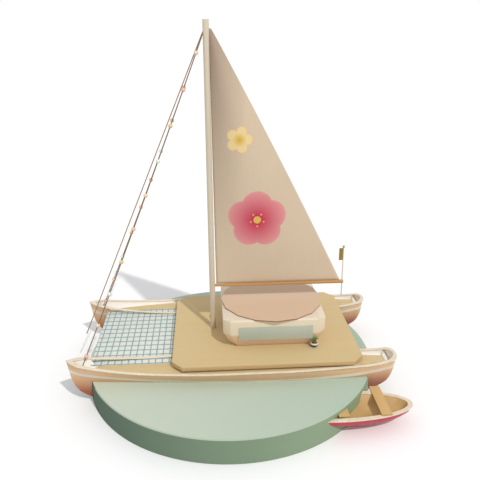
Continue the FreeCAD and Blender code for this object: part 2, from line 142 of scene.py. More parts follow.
# shared surface effects
def makeWoodGrain():
    group, gin, gout = newGroup("woodGrain", [
        ("Vector", "NodeSocketVector", None),
        ("Scale", "NodeSocketFloat", 300.0),
        ("Stretch", "NodeSocketVector", (0.06, 1, 1)),
    ], [("Streak", "NodeSocketFloat"), ("Height", "NodeSocketFloat")])
    g = Graph(group)
    v = g.vec("MULTIPLY", gin.outputs["Vector"], gin.outputs["Stretch"])
    wide = g.noise(v, g.times(gin.outputs["Scale"], 0.35), 3, 0.55, 0.6)
    fine = g.noise(v, g.times(gin.outputs["Scale"], 2.2), 4, 0.6, 0.2)
    both = g.math("ADD", g.times(wide, 0.6), g.times(fine, 0.4))
    g.put(gout.inputs["Streak"], g.remap(both, 0.32, 0.68))
    g.put(gout.inputs["Height"], fine)
    return group


def makeMottle():
    group, gin, gout = newGroup("paintMottle", [
        ("Vector", "NodeSocketVector", None), ("Scale", "NodeSocketFloat", 60.0),
    ], [("Cloud", "NodeSocketFloat"), ("Height", "NodeSocketFloat")])
    g = Graph(group)
    cloud = g.noise(gin.outputs["Vector"], gin.outputs["Scale"], 4, 0.55, 0.3)
    fine = g.noise(gin.outputs["Vector"], g.times(gin.outputs["Scale"], 14.0), 2, 0.5)
    g.put(gout.inputs["Cloud"], g.remap(cloud, 0.3, 0.7))
    g.put(gout.inputs["Height"], g.math("ADD", g.times(cloud, 0.3), g.times(fine, 0.7)))
    return group


def makeEdgeWear():
    group, gin, gout = newGroup("edgeWear", [
        ("Vector", "NodeSocketVector", None), ("Start", "NodeSocketFloat", 0.52), ("End", "NodeSocketFloat", 0.6),
    ], [("Wear", "NodeSocketFloat")])
    g = Graph(group)
    geo = g.add("ShaderNodeNewGeometry")
    patch = g.noise(gin.outputs["Vector"], 220.0, 4, 0.6)
    edge = g.remap(geo.outputs["Pointiness"], gin.outputs["Start"], gin.outputs["End"])
    g.put(gout.inputs["Wear"], g.times(edge, g.remap(patch, 0.42, 0.6)))
    return group


def makeWeave():
    group, gin, gout = newGroup("clothWeave", [
        ("Across", "NodeSocketFloat", 0.0),
        ("Along", "NodeSocketFloat", 0.0),
        ("Threads", "NodeSocketFloat", 1600.0),
    ], [("Weave", "NodeSocketFloat"), ("Height", "NodeSocketFloat")])
    g = Graph(group)
    turn = g.times(gin.outputs["Threads"], math.pi)
    a = g.math("SINE", g.times(gin.outputs["Across"], turn))
    b = g.math("SINE", g.times(gin.outputs["Along"], turn))
    cell = g.times(a, b)
    thread = g.times(g.math("ABSOLUTE", a), g.math("ABSOLUTE", b))
    g.put(gout.inputs["Weave"], g.remap(cell, -1.0, 1.0))
    raised = g.times(g.math("ABSOLUTE", cell), 0.5)
    g.put(gout.inputs["Height"], g.math("ADD", raised, g.times(thread, 0.5)))
    return group


woodGrain, paintMottle, edgeWear, clothWeave = makeWoodGrain(), makeMottle(), makeEdgeWear(), makeWeave()


def startMaterial(name, rough=0.6, spec=0.3):
    mat = bpy.data.materials.new(name)
    mat.use_nodes = True
    g = Graph(mat.node_tree)
    shader = mat.node_tree.nodes["Principled BSDF"]
    shader.inputs["Roughness"].default_value = rough
    shader.inputs["Specular IOR Level"].default_value = spec
    coords = g.add("ShaderNodeTexCoord").outputs["Object"]
    return mat, g, shader, coords


def addBump(g, shader, height, strength=0.2, distance=0.0002):
    bump = g.add("ShaderNodeBump")
    bump.inputs["Strength"].default_value = strength
    bump.inputs["Distance"].default_value = distance
    g.put(bump.inputs["Height"], height)
    g.put(shader.inputs["Normal"], bump.outputs["Normal"])


def woodMaterial(name, light, dark, streak=0.5, scale=300.0, stretch=(0.06, 1, 1), rough=0.6,
                 side=None, wear=None, spec=0.3):
    # two tones of grain, upright edges painted a darker side tone as shade, and worn corners
    mat, g, shader, coords = startMaterial(name, rough, spec)
    grain = g.group(woodGrain, Vector=coords, Scale=scale, Stretch=stretch)
    tone = g.mix(g.times(grain.outputs["Streak"], streak), light, dark)
    # upright faces take the side tone: painted shade
    if side:
        up = g.math("ABSOLUTE", g.facing((0, 0, 1)))
        tone = g.mix(g.remap(up, 0.35, 0.6, 1.0, 0.0), tone, side)
    if wear:
        tone = g.mix(g.group(edgeWear, Vector=coords).outputs["Wear"], tone, wear)
    g.put(shader.inputs["Base Color"], tone)
    g.put(shader.inputs["Roughness"], g.remap(grain.outputs["Streak"], 0, 1, rough - 0.06, rough + 0.08))
    addBump(g, shader, grain.outputs["Height"], 0.25, 0.00012)
    return mat


def paintMaterial(name, light, dark, scale=60.0, rough=0.5, wear=None, spec=0.35, mottle=0.6):
    mat, g, shader, coords = startMaterial(name, rough, spec)
    cloud = g.group(paintMottle, Vector=coords, Scale=scale)
    tone = g.mix(g.times(cloud.outputs["Cloud"], mottle), light, dark)
    if wear:
        tone = g.mix(g.group(edgeWear, Vector=coords).outputs["Wear"], tone, wear)
    g.put(shader.inputs["Base Color"], tone)
    g.put(shader.inputs["Roughness"], g.remap(cloud.outputs["Cloud"], 0, 1, rough - 0.08, rough + 0.08))
    addBump(g, shader, cloud.outputs["Height"], 0.18, 0.00015)
    return mat


# mesh helpers
def newObject(name, data):
    obj = bpy.data.objects.new(name, data)
    bpy.context.collection.objects.link(obj)
    return obj


def finishMesh(bm, name, mats, recalc=True):
    if recalc:
        bmesh.ops.recalc_face_normals(bm, faces=bm.faces)
    mesh = bpy.data.meshes.new(name)
    bm.to_mesh(mesh)
    bm.free()
    for mat in mats:
        mesh.materials.append(mat)
    mesh.shade_smooth()
    obj = newObject(name, mesh)
    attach(obj, "root")
    return obj


def thicken(obj, thick):
    solid = obj.modifiers.new("thickness", "SOLIDIFY")
    solid.thickness = thick * mm
    solid.offset = 0


def bevelEdges(bm, edges, width, segments=2):
    bmesh.ops.bevel(bm, geom=edges, offset=width, offset_type="OFFSET", segments=segments,
                    profile=0.5, affect="EDGES", material=-1)


def sharpEdges(bm, angle=30):
    return [e for e in bm.edges if len(e.link_faces) == 2 and e.calc_face_angle(0) > math.radians(angle)]


def bevelledBox(bm, low, high, width, segments=2):
    made = bmesh.ops.create_cube(bm, size=1.0)
    lo, hi = Vector(low), Vector(high)
    size = hi - lo
    bmesh.ops.scale(bm, verts=made["verts"], vec=size)
    bmesh.ops.translate(bm, verts=made["verts"], vec=(lo + hi) / 2)
    edges = list({e for v in made["verts"] for e in v.link_edges})
    bevelEdges(bm, edges, width, segments)


def ringOf(bm, points):
    verts = [bm.verts.new(p) for p in points]
    return [bm.edges.new((a, b)) for a, b in zip(verts, verts[1:] + verts[:1])]


def bridgeRings(bm, rings, capStart=False, capEnd=False, material=0):
    loops = [ringOf(bm, r) for r in rings]
    for a, b in zip(loops, loops[1:]):
        made = bmesh.ops.bridge_loops(bm, edges=a + b)
        for f in made["faces"]:
            f.material_index = material
    for wanted, loop in ((capStart, loops[0]), (capEnd, loops[-1])):
        if wanted:
            made = bmesh.ops.contextual_create(bm, geom=loop)
            for f in made["faces"]:
                f.material_index = material
    return loops


# camera and light
photo = {
    "place": (-18.89 * mm, -507.79 * mm, 325.67 * mm),
    "lens": 43.87, "yaw": 0.0583, "pitch": 0.3529, "roll": -0.0073,
}


def makeCamera():
    yaw, pitch, roll = photo["yaw"], photo["pitch"], photo["roll"]
    ahead = Vector((math.sin(yaw) * math.cos(pitch), math.cos(yaw) * math.cos(pitch), -math.sin(pitch)))
    right = Vector((math.cos(yaw), -math.sin(yaw), 0))
    up = right.cross(ahead)
    r2 = math.cos(roll) * right + math.sin(roll) * up
    u2 = -math.sin(roll) * right + math.cos(roll) * up
    cam = bpy.data.cameras.new("photoCamera")
    cam.sensor_width = 36
    cam.sensor_fit = "HORIZONTAL"
    cam.lens = photo["lens"]
    cam.clip_start = 0.01
    cam.clip_end = 50
    obj = newObject("photoCamera", cam)
    turn = Matrix((r2, u2, -ahead)).transposed()
    obj.matrix_world = Matrix.Translation(photo["place"]) @ turn.to_4x4()
    bpy.context.scene.camera = obj


light = {"sunTravel": (-0.31, 0.58, -0.77), "sun": 1.58, "sunAngle": 0.03, "sky": 0.68}


def makeLight():
    sun = bpy.data.lights.new("keySun", "SUN")
    sun.energy = light["sun"]
    sun.angle = light["sunAngle"]
    sun.color = (1.0, 0.985, 0.96)
    obj = newObject("keySun", sun)
    obj.rotation_euler = Vector(light["sunTravel"]).to_track_quat("-Z", "Y").to_euler()
    world = bpy.data.worlds.new("studio")
    bpy.context.scene.world = world
    world.use_nodes = True
    g = Graph(world.node_tree)
    for node in list(world.node_tree.nodes):
        world.node_tree.nodes.remove(node)
    path = g.add("ShaderNodeLightPath")
    seen = g.math("MAXIMUM", path.outputs["Is Camera Ray"], path.outputs["Is Glossy Ray"])
    seen = g.math("MAXIMUM", seen, path.outputs["Is Transmission Ray"])
    back = g.add("ShaderNodeBackground")
    g.put(back.inputs["Color"], g.mix(seen, (0.97, 0.98, 1.0, 1), (1, 1, 1, 1)))
    g.put(back.inputs["Strength"], g.remap(seen, 0, 1, light["sky"], 1.0))
    out = g.add("ShaderNodeOutputWorld")
    g.put(out.inputs["Surface"], back.outputs[0])


def makeFloor():
    bm = bmesh.new()
    bmesh.ops.create_grid(bm, x_segments=1, y_segments=1, size=6)
    bmesh.ops.translate(bm, verts=bm.verts, vec=(0, 0, -0.0003))
    mesh = bpy.data.meshes.new("floor")
    bm.to_mesh(mesh)
    bm.free()
    mat, g, shader, coords = startMaterial("floorWhite", 0.9, 0.1)
    path = g.add("ShaderNodeLightPath")
    seen = g.math("MAXIMUM", path.outputs["Is Camera Ray"], path.outputs["Is Glossy Ray"])
    g.put(shader.inputs["Base Color"], g.mix(seen, (0.72, 0.72, 0.72, 1), (1, 1, 1, 1)))
    mesh.materials.append(mat)
    obj = newObject("floor", mesh)


makeCamera()
makeLight()
makeFloor()
print("camera, light and floor are in place")

# hull lines, as the solids have them
hull = {
    "spacing": 119.2, "sheer": 34.6, "foreX": -60, "aftX": 119, "bowCurve": 488, "sternCurve": 131,
    "wall": 1.8, "endWall": 2.0, "floor": 32.2, "railTall": 1.2, "railProud": 0.7, "railRound": 0.55, "around": 128,
    "stations": (0, 0.04, 0.10, 0.25, 0.45, 0.65, 0.82, 0.93, 0.975, 1),
    "heights": (2.5, 12.0, 23.2, 36.5, 46.0),
    "stem": (-126.0, -141.0, -146.8, -149.3, -150.8),
    "stern": (133.0, 144.3, 148.3, 149.8, 150.4),
    "beams": ((0.35, 0.6, 1.2, 1.8, 2.0, 1.8, 1.4, 1.0), (1.0, 2.0, 4.4, 7.2, 8.8, 8.8, 7.2, 5.2),
              (2.4, 4.2, 8.0, 12.0, 14.0, 13.6, 11.4, 8.8), (6.6, 10.2, 16.0, 20.2, 20.0, 16.9, 14.0, 11.6),
              (9.0, 12.8, 18.2, 22.0, 21.4, 18.6, 15.0, 12.2)),
    "long": 300, "roundFrom": 0.975, "fade": (0.012, 0.004), "netX": (-131.3, -50), "netZ": 34.0,
    "lineX": 20.0, "lineRun": (168.0, 125.0), "linePower": 2.2, "lineMid": 23.0, "lineBow": 10.0, "lineStern": 7.6,
    "lineHalf": 1.8, "lineSoft": 0.12,
}


def curveThrough(xs, ys, x):
    # smooth value between given pairs, without swinging past them
    n = len(xs)
    if x <= xs[0]:
        return ys[0]
    if x >= xs[-1]:
        return ys[-1]
    slopes = [(ys[i + 1] - ys[i]) / (xs[i + 1] - xs[i]) for i in range(n - 1)]
    i = max(k for k in range(n - 1) if xs[k] <= x)

    def tangent(k):
        if k == 0:
            return slopes[0]
        if k == n - 1:
            return slopes[-1]
        a, b = slopes[k - 1], slopes[k]
        return 0 if a * b <= 0 else 2 * a * b / (a + b)
    span = xs[i + 1] - xs[i]
    t = (x - xs[i]) / span
    a, b = tangent(i) * span, tangent(i + 1) * span
    start = (2 * t ** 3 - 3 * t ** 2 + 1) * ys[i] + (t ** 3 - 2 * t ** 2 + t) * a
    return start + (3 * t ** 2 - 2 * t ** 3) * ys[i + 1] + (t ** 3 - t ** 2) * b


def sheerAt(x):
    # level amidships, one arc up to the bow and a tighter one up to the stern
    d = hull
    run, r = (d["foreX"] - x, d["bowCurve"]) if x < 0 else (x - d["aftX"], d["sternCurve"])
    return d["sheer"] + (r - math.sqrt(r * r - run * run) if run > 0 else 0)


def wallTop(x, sign):
    # the inboard wall is lower where the net passes over it
    d = hull
    under = sign > 0 and d["netX"][0] < x < d["netX"][1]
    return min(sheerAt(x), d["netZ"]) if under else sheerAt(x)


def halfBeam(u, z):
    d = hull
    rows = []
    for beams in d["beams"]:
        edge = (0,) + beams + (0,)
        # a quarter round closes the stern, and the stem stays sharp
        if u > d["roundFrom"]:
            t = (1 - u) / (1 - d["roundFrom"])
            rows.append(beams[-1] * math.sqrt(max(0.0, 1 - (1 - t) ** 2)))
        else:
            rows.append(curveThrough(d["stations"][:-1], edge[:-1], u))
    return curveThrough(d["heights"], rows, z)


def outlinePoint(turn, z, side=0.0, end=0.0):
    # turn 0..1 runs from the stem along +Y to the stern and back along -Y; z may depend on x
    d = hull
    half = turn * 2 if turn <= 0.5 else (1 - turn) * 2
    sign = 1 if turn <= 0.5 else -1
    u = 0.5 - 0.5 * math.cos(math.pi * half)
    height = z(-d["long"] / 2 + d["long"] * u, sign) if callable(z) else z
    stem, stern = curveThrough(d["heights"], d["stem"], height), curveThrough(d["heights"], d["stern"], height)
    x = stem - end + u * (stern - stem + 2 * end)
    ends = min(1.0, max(0.0, min(u / d["fade"][0], (1 - u) / d["fade"][1])))
    y = halfBeam(u, height) + side * ends
    return Vector((x, sign * max(0.0, y), height))


def hullRing(z, side=0.0, end=0.0):
    n = hull["around"]
    return [outlinePoint(i / n, z, side, end) * mm for i in range(n)]


def placeHull(bm, which):
    if which == "far":
        bmesh.ops.scale(bm, verts=bm.verts, vec=(1, -1, 1))
    y = boatY + (-1 if which == "near" else 1) * hull["spacing"] / 2 * mm
    bmesh.ops.translate(bm, verts=bm.verts, vec=(boatX, y, 0))


def hullPaint():
    mat, g, shader, coords = startMaterial("hullPaint", 0.5, 0.35)
    parts = g.split(coords)
    x = g.times(g.math("SUBTRACT", parts["X"], boatX), 1000.0)
    z = g.times(parts["Z"], 1000.0)
    # the painted line rises both ways from lineX
    rise = []
    for pair, run in zip(((hull["lineX"], x), (x, hull["lineX"])), hull["lineRun"]):
        share = g.math("DIVIDE", g.math("MAXIMUM", g.math("SUBTRACT", *pair), 0.0), run)
        rise.append(g.math("POWER", share, hull["linePower"]))
    line = g.math("MULTIPLY_ADD", rise[0], hull["lineBow"], hull["lineMid"])
    line = g.math("ADD", line, g.times(rise[1], hull["lineStern"]))
    off = g.math("SUBTRACT", z, line)
    half, soft = hull["lineHalf"], hull["lineSoft"]
    stripe = g.remap(g.math("ABSOLUTE", off), half - soft, half + soft, 1.0, 0.0)
    grain = g.group(woodGrain, Vector=coords, Scale=260.0, Stretch=(0.07, 1, 1))
    ramp = g.add("ShaderNodeValToRGB")
    g.put(ramp.inputs["Fac"], g.remap(z, 0.0, 42.0))
    stops = ramp.color_ramp.elements
    stops[0].position, stops[0].color = 0.05, srgb(142, 70, 46)
    stops[1].position, stops[1].color = 0.75, srgb(238, 198, 156)
    for place, tone in ((0.28, srgb(172, 100, 70)), (0.5, srgb(212, 160, 120))):
        stops.new(place).color = tone
    wood = g.mix(g.times(grain.outputs["Streak"], 0.16), ramp.outputs["Color"], srgb(140, 84, 56))
    wear = g.group(edgeWear, Vector=coords)
    wood = g.mix(wear.outputs["Wear"], wood, srgb(214, 178, 140))
    tone = g.mix(stripe, wood, srgb(232, 222, 202))
    g.put(shader.inputs["Base Color"], tone)
    g.put(shader.inputs["Roughness"], g.remap(grain.outputs["Streak"], 0, 1, 0.42, 0.56))
    addBump(g, shader, g.math("ADD", grain.outputs["Height"], g.times(stripe, 0.5)), 0.3, 0.00012)
    return mat


creamRail = paintMaterial("creamRail", srgb(232, 220, 198), srgb(214, 198, 170), 90.0, 0.5, srgb(196, 164, 124))
wellWhite = paintMaterial("wellWhite", srgb(250, 247, 242), srgb(238, 232, 222), 70.0, 0.6)
hullCoat = hullPaint()


def makeHull(which):
    d = hull
    bm = bmesh.new()
    levels = 14
    rings = []
    for k in range(levels + 1):
        share = k / levels
        rings.append(hullRing(lambda x, sign, s=share: d["heights"][0] + s * (wallTop(x, sign) - d["heights"][0])))
    bridgeRings(bm, rings, capStart=True)
    # the wall's top, then down inside to the well floor
    topEdges = [e for e in bm.edges if e.is_boundary]
    inner = [
        hullRing(wallTop, -d["wall"], -d["endWall"]),
        hullRing(lambda x, sign: d["floor"] + 0.35 * (wallTop(x, sign) - d["floor"]), -d["wall"], -d["endWall"]),
        hullRing(d["floor"], -d["wall"], -d["endWall"]),
    ]
    loops = bridgeRings(bm, inner, capEnd=True, material=1)
    bmesh.ops.bridge_loops(bm, edges=topEdges + loops[0])
    bmesh.ops.remove_doubles(bm, verts=bm.verts, dist=0.00001)
    placeHull(bm, which)
    obj = finishMesh(bm, which + "Hull", [hullCoat, wellWhite])
    obj.data.set_sharp_from_angle(angle=math.radians(38))
    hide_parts(which + "_hull")
    return obj


def makeRail(which):
    # one flat cap rail with rounded edges, all the way round the top of the wall
    d = hull
    bm = bmesh.new()
    r, tall, wide = d["railRound"], d["railTall"], d["railProud"]
    back = d["wall"] + wide
    section = []
    corners = ((wide - r, tall - r, 0), (-back + r, tall - r, 90), (-back + r, r, 180), (wide - r, r, 270))
    for cs, cz, first in corners:
        for step in range(4):
            turn = math.radians(first + step * 30)
            section.append((cs + r * math.cos(turn), cz + r * math.sin(turn)))
    rings = []
    for side, rise in section:
        end = side if side > 0 else side * (d["endWall"] + wide) / back
        rings.append(hullRing(lambda x, sign, lift=rise: sheerAt(x) + lift, side, end))
    loops = [ringOf(bm, ring) for ring in rings]
    for one, two in zip(loops, loops[1:] + loops[:1]):
        bmesh.ops.bridge_loops(bm, edges=one + two)
    placeHull(bm, which)
    obj = finishMesh(bm, which + "Rail", [creamRail])
    obj.data.set_sharp_from_angle(angle=math.radians(55))
    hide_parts(which + "_rail")
    return obj


for which in ("near", "far"):
    makeHull(which)
    makeRail(which)
print("hulls and rails are built")


# pieces that keep the solid's own shape, with eased edges
def solidMesh(node):
    bm = bmesh.new()
    bm.from_mesh(nodes[node].data)
    bmesh.ops.remove_doubles(bm, verts=bm.verts, dist=0.000004)
    bmesh.ops.dissolve_limit(bm, angle_limit=math.radians(1.5), verts=bm.verts, edges=bm.edges)
    return bm


def dressNode(node, name, coat, slotName, ease, angle=32, shift=0.0):
    bm = solidMesh(node)
    if ease:
        bevelEdges(bm, sharpEdges(bm, angle), ease * mm, 2)
    bmesh.ops.triangulate(bm, faces=[f for f in bm.faces if len(f.verts) > 4])
    bmesh.ops.translate(bm, verts=bm.verts, vec=(shift * mm, 0, 0))
    obj = finishMesh(bm, name, [coat], recalc=False)
    obj.data.set_sharp_from_angle(angle=math.radians(40))
    for f in obj.data.polygons:
        f.use_smooth = abs(f.normal.z) < 0.999
    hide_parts(node)
    return obj


# the side tone here darkens the upright edges: painted shade
bridgeWood = woodMaterial("bridgeWood", srgb(212, 189, 143), srgb(196, 170, 122), 0.22, 210.0, rough=0.68,
                          side=srgb(198, 168, 122), spec=0.15)
plankWood = woodMaterial("plankWood", srgb(214, 190, 142), srgb(192, 164, 114), 0.35, 220.0, rough=0.6,
                         wear=srgb(224, 206, 168))


def basePaint():
    # sea green, pale on top and painted darker round the side as shade; that painted shade lifts towards the stern,
    # on the sunny side, so the two draw closer there
    mat, g, shader, coords = startMaterial("seaPaint", 0.75, 0.12)
    cloud = g.group(paintMottle, Vector=coords, Scale=16.0)
    up = g.facing((0, 0, 1))
    parts = g.split(coords)
    across = g.remap(parts["X"], -0.13, 0.13)
    top = g.mix(across, srgb(202, 210, 194), srgb(178, 195, 178))
    top = g.mix(g.times(cloud.outputs["Cloud"], 0.1), top, srgb(176, 196, 176))
    # painted shade on the side, lighter towards the stern where the sun falls
    side = g.mix(across, srgb(92, 112, 98), srgb(158, 178, 146))
    side = g.mix(g.times(cloud.outputs["Cloud"], 0.12), side, srgb(100, 124, 100))
    tone = g.mix(g.remap(up, 0.5, 0.8), side, top)
    g.put(shader.inputs["Base Color"], tone)
    g.put(shader.inputs["Roughness"], g.remap(cloud.outputs["Cloud"], 0, 1, 0.7, 0.82))
    addBump(g, shader, cloud.outputs["Height"], 0.12, 0.0002)
    return mat


def cabinPaint():
    mat, g, shader, coords = startMaterial("cabinPaint", 0.55, 0.3)
    cloud = g.group(paintMottle, Vector=coords, Scale=50.0)
    up = g.facing((0, 0, 1))
    # the downward taper takes a warmer tone tuned to its shade, and faces looking up a lighter one: painted shade
    # and painted highlight
    tone = g.mix(g.remap(up, -0.25, -0.1), srgb(232, 204, 176), srgb(226, 211, 184))
    tone = g.mix(g.remap(up, 0.5, 0.9), tone, srgb(228, 214, 194))
    tone = g.mix(g.times(cloud.outputs["Cloud"], 0.12), tone, srgb(212, 196, 168))
    g.put(shader.inputs["Base Color"], tone)
    g.put(shader.inputs["Roughness"], g.remap(cloud.outputs["Cloud"], 0, 1, 0.48, 0.62))
    addBump(g, shader, cloud.outputs["Height"], 0.2, 0.00015)
    return mat


# the side tones of roofWood and thwartWood are painted shade on their upright edges, the roof's dark rim most of all
roofWood = woodMaterial("roofWood", srgb(214, 186, 158), srgb(204, 172, 142), 0.25, 160.0, rough=0.6,
                        side=srgb(146, 106, 80))
windowFilm = paintMaterial("windowFilm", srgb(182, 186, 170), srgb(170, 176, 160), 40.0, 0.25, spec=0.45)
mastWood = woodMaterial("mastWood", srgb(216, 204, 182), srgb(196, 180, 154), 0.5, 300.0, (1, 1, 0.05), 0.55)
boomWood = woodMaterial("boomWood", srgb(200, 150, 92), srgb(168, 116, 62), 0.6, 300.0, (0.05, 1, 1), 0.5)
thwartWood = woodMaterial("thwartWood", srgb(212, 176, 118), srgb(188, 148, 92), 0.4, 240.0, (1, 0.06, 1), 0.6,
                          side=srgb(180, 142, 88))
poleWood = woodMaterial("poleWood", srgb(232, 214, 196), srgb(206, 180, 160), 0.5, 300.0, (1, 1, 0.06), 0.5)
barWood = woodMaterial("barWood", srgb(170, 138, 104), srgb(140, 106, 74), 0.5, 300.0, (1, 0.06, 1), 0.55)
seaPaint = basePaint()
cabinCream = cabinPaint()

# ease is the width of the eased edges and shift a move aft, in millimetres; angle is what counts as sharp
plainPieces = {
    "water_base": dict(name="waterBase", coat=seaPaint, slotName="base_paint", ease=0),
    "bridge_deck": dict(name="bridgeDeck", coat=bridgeWood, slotName="deck_wood", ease=0.35),
    "near_deck": dict(name="nearDeckPlank", coat=plankWood, slotName="deck_wood", ease=0.3),
    "far_deck": dict(name="farDeckPlank", coat=plankWood, slotName="deck_wood", ease=0.3),
    "cabin": dict(name="cabinHouse", coat=cabinCream, slotName="cabin_wood", ease=0.4, angle=12, shift=1.2),
    "cabin_roof": dict(name="roofBoard", coat=roofWood, slotName="roof_wood", ease=0.2, angle=60, shift=2.0),
    "cabin_window": dict(name="windowStrip", coat=windowFilm, slotName="window_strip", ease=0.15),
    "mast": dict(name="mastDowel", coat=mastWood, slotName="mast_wood", ease=0.4, angle=60),
    "boom": dict(name="boomDowel", coat=boomWood, slotName="spar_wood", ease=0.3, angle=60),
    "flagpole": dict(name="flagStaff", coat=poleWood, slotName="pole_wood", ease=0.15, angle=60),
    "near_crossbar": dict(name="nearSternBar", coat=barWood, slotName="bar_wood", ease=0),
    "far_crossbar": dict(name="farSternBar", coat=barWood, slotName="bar_wood", ease=0),
    "dinghy_fore_thwart": dict(name="dinghyForeThwart", coat=thwartWood, slotName="thwart_wood", ease=0.2),
    "dinghy_aft_thwart": dict(name="dinghyAftThwart", coat=thwartWood, slotName="thwart_wood", ease=0.2),
    "dinghy_gunwale": dict(name="dinghyGunwale", coat=creamRail, slotName="rail_wood", ease=0.35, angle=50),
}
plankReach = {"startX": -60, "run": 61, "more": 1.7}


def widenPlank(plank, side):
    # the plank grows inboard from startX forward
    d = plankReach
    for v in plank.data.vertices:
        ahead = (d["startX"] * mm - (v.co.x - boatX)) / (d["run"] * mm)
        inward = -side * (v.co.y - boatY - side * hull["spacing"] / 2 * mm)
        if ahead > 0 and inward > 0:
            v.co.y -= side * inward * d["more"] * ahead * ahead


dressed = {node: dressNode(node, **values) for node, values in plainPieces.items()}
widenPlank(dressed["near_deck"], -1)
widenPlank(dressed["far_deck"], 1)
print("base, decks, cabin, spars and thwarts are dressed")


# dinghy shell: red outside, bare wood inside
def dinghyPaint():
    mat, g, shader, coords = startMaterial("dinghyShell", 0.42, 0.4)
    cloud = g.group(paintMottle, Vector=coords, Scale=70.0)
    grain = g.group(woodGrain, Vector=coords, Scale=240.0, Stretch=(0.07, 1, 1))
    inside = g.add("ShaderNodeAttribute", attribute_name="inside").outputs["Fac"]
    red = g.mix(g.times(cloud.outputs["Cloud"], 0.4), srgb(208, 62, 86), srgb(178, 44, 66))
    wood = g.mix(g.times(grain.outputs["Streak"], 0.4), srgb(212, 174, 118), srgb(184, 142, 90))
    g.put(shader.inputs["Base Color"], g.mix(g.remap(inside, 0.4, 0.6), red, wood))
    g.put(shader.inputs["Roughness"], g.remap(grain.outputs["Streak"], 0, 1, 0.4, 0.56))
    addBump(g, shader, grain.outputs["Height"], 0.2, 0.00012)
    return mat


dinghy = {"x": 88, "y": -107.2, "halfLong": 64, "halfWide": 21.8, "insideZ": 9.5}


def makeDinghy():
    bm = solidMesh("dinghy_hull")
    mark = bm.faces.layers.float.new("inside")
    cx, cy = dinghy["x"] * mm + boatX, dinghy["y"] * mm + boatY
    for f in bm.faces:
        c = f.calc_center_median()
        out = Vector(((c.x - cx) / (dinghy["halfLong"] ** 2), (c.y - cy) / (dinghy["halfWide"] ** 2), 0))
        level = f.normal.z > 0.5
        inner = f.normal.dot(out) < 0 and c.z > dinghy["insideZ"] * mm
        f[mark] = 1.0 if level or inner else 0.0
    bmesh.ops.triangulate(bm, faces=[f for f in bm.faces if len(f.verts) > 4])
    obj = finishMesh(bm, "dinghyShell", [dinghyPaint()], recalc=False)
    obj.data.set_sharp_from_angle(angle=math.radians(35))
    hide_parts("dinghy_hull")


makeDinghy()
print("dinghy is built")


# net: cream cloth with blue-grey cords woven over it
net = {
    "x": (-130.7, -50), "half": 54.4, "low": 34.0, "cloth": 0.35, "clothEdge": 0.12,
    "cordRound": 0.46, "cols": 13, "rows": 12, "pitch": 8.5, "tuck": 0.5, "sunk": 0.4, "weave": 0.25,
}


def tubeAlong(bm, points, radius, sides=6):
    rings = []
    for i, p in enumerate(points):
        a, b = points[max(0, i - 1)], points[min(len(points) - 1, i + 1)]
        ahead = (b - a).normalized()
        side = ahead.cross(Vector((0, 0, 1)))
        side = Vector((1, 0, 0)) if side.length < 0.01 else side.normalized()
        up = side.cross(ahead)
        turns = [2 * math.pi * k / sides for k in range(sides)]
        rings.append([p + radius * (math.cos(turn) * side + math.sin(turn) * up) for turn in turns])
    bridgeRings(bm, rings, capStart=True, capEnd=True)


def netCordMaterial():
    mat, g, shader, coords = startMaterial("netCord", 0.75, 0.2)
    fleck = g.noise(coords, 2600.0, 2, 0.6)
    g.put(shader.inputs["Base Color"], g.mix(g.remap(fleck, 0.35, 0.65), srgb(156, 184, 182), srgb(128, 158, 162)))
    addBump(g, shader, fleck, 0.4, 0.0001)
    return mat


def netClothMaterial(light, dark):
    mat, g, shader, coords = startMaterial("netCloth", 0.85, 0.15)
    parts = g.split(coords)
    weave = g.group(clothWeave, Across=parts["X"], Along=parts["Y"], Threads=1500.0)
    cloud = g.noise(coords, 60.0, 3, 0.5)
    tone = g.mix(g.times(weave.outputs["Weave"], 0.35), light, dark)
    tone = g.mix(g.remap(cloud, 0.3, 0.8, 0.0, 0.3), tone, dark)
    g.put(shader.inputs["Base Color"], tone)
    addBump(g, shader, weave.outputs["Height"], 0.3, 0.00012)
    return mat


def makeNet():
    d = net
    x0, x1 = [v * mm + boatX for v in d["x"]]
    y0, y1 = boatY - d["half"] * mm, boatY + d["half"] * mm
    z0 = d["low"] * mm
    bm = bmesh.new()
    bevelledBox(bm, (x0, y0, z0), (x1, y1, z0 + d["cloth"] * mm), d["clothEdge"] * mm, 2)
    cords = bmesh.new()
    r = d["cordRound"] * mm
    seat = z0 + d["cloth"] * mm + d["sunk"] * r
    lift = d["weave"] * r

    def run(start, end, crossings, odd):
        # over one crossing cord and under the next
        points = []
        for k in range(crossings * 2 + 1):
            t = k / (crossings * 2)
            p = start.lerp(end, t)
            bump = 0 if k % 2 == 0 else (lift if ((k // 2) + odd) % 2 else -lift)
            points.append(p + Vector((0, 0, bump)))
        return points

    for i in range(d["cols"]):
        x = x0 + (i + 0.5) * (x1 - x0) / d["cols"]
        tubeAlong(cords, run(Vector((x, y0, seat)), Vector((x, y1, seat)), d["rows"], i), r)
    edge = (d["half"] - d["tuck"]) * mm
    rows = [(j + 0.5 - d["rows"] / 2) * d["pitch"] * mm for j in range(d["rows"])]
    for j, y in enumerate([-edge] + rows + [edge]):
        start, end = Vector((x0, boatY + y, seat)), Vector((x1, boatY + y, seat))
        tubeAlong(cords, run(start, end, d["cols"], j + 1), r)
    for f in cords.faces:
        f.material_index = 1
    part = bpy.data.meshes.new("netCords")
    cords.to_mesh(part)
    cords.free()
    bm.from_mesh(part)
    bpy.data.meshes.remove(part)
    cloth = netClothMaterial(srgb(230, 230, 222), srgb(212, 214, 206))
    obj = finishMesh(bm, "bowNet", [cloth, netCordMaterial()])
    obj.data.set_sharp_from_angle(angle=math.radians(45))
    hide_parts("trampoline_net")


makeNet()
print("net is woven")

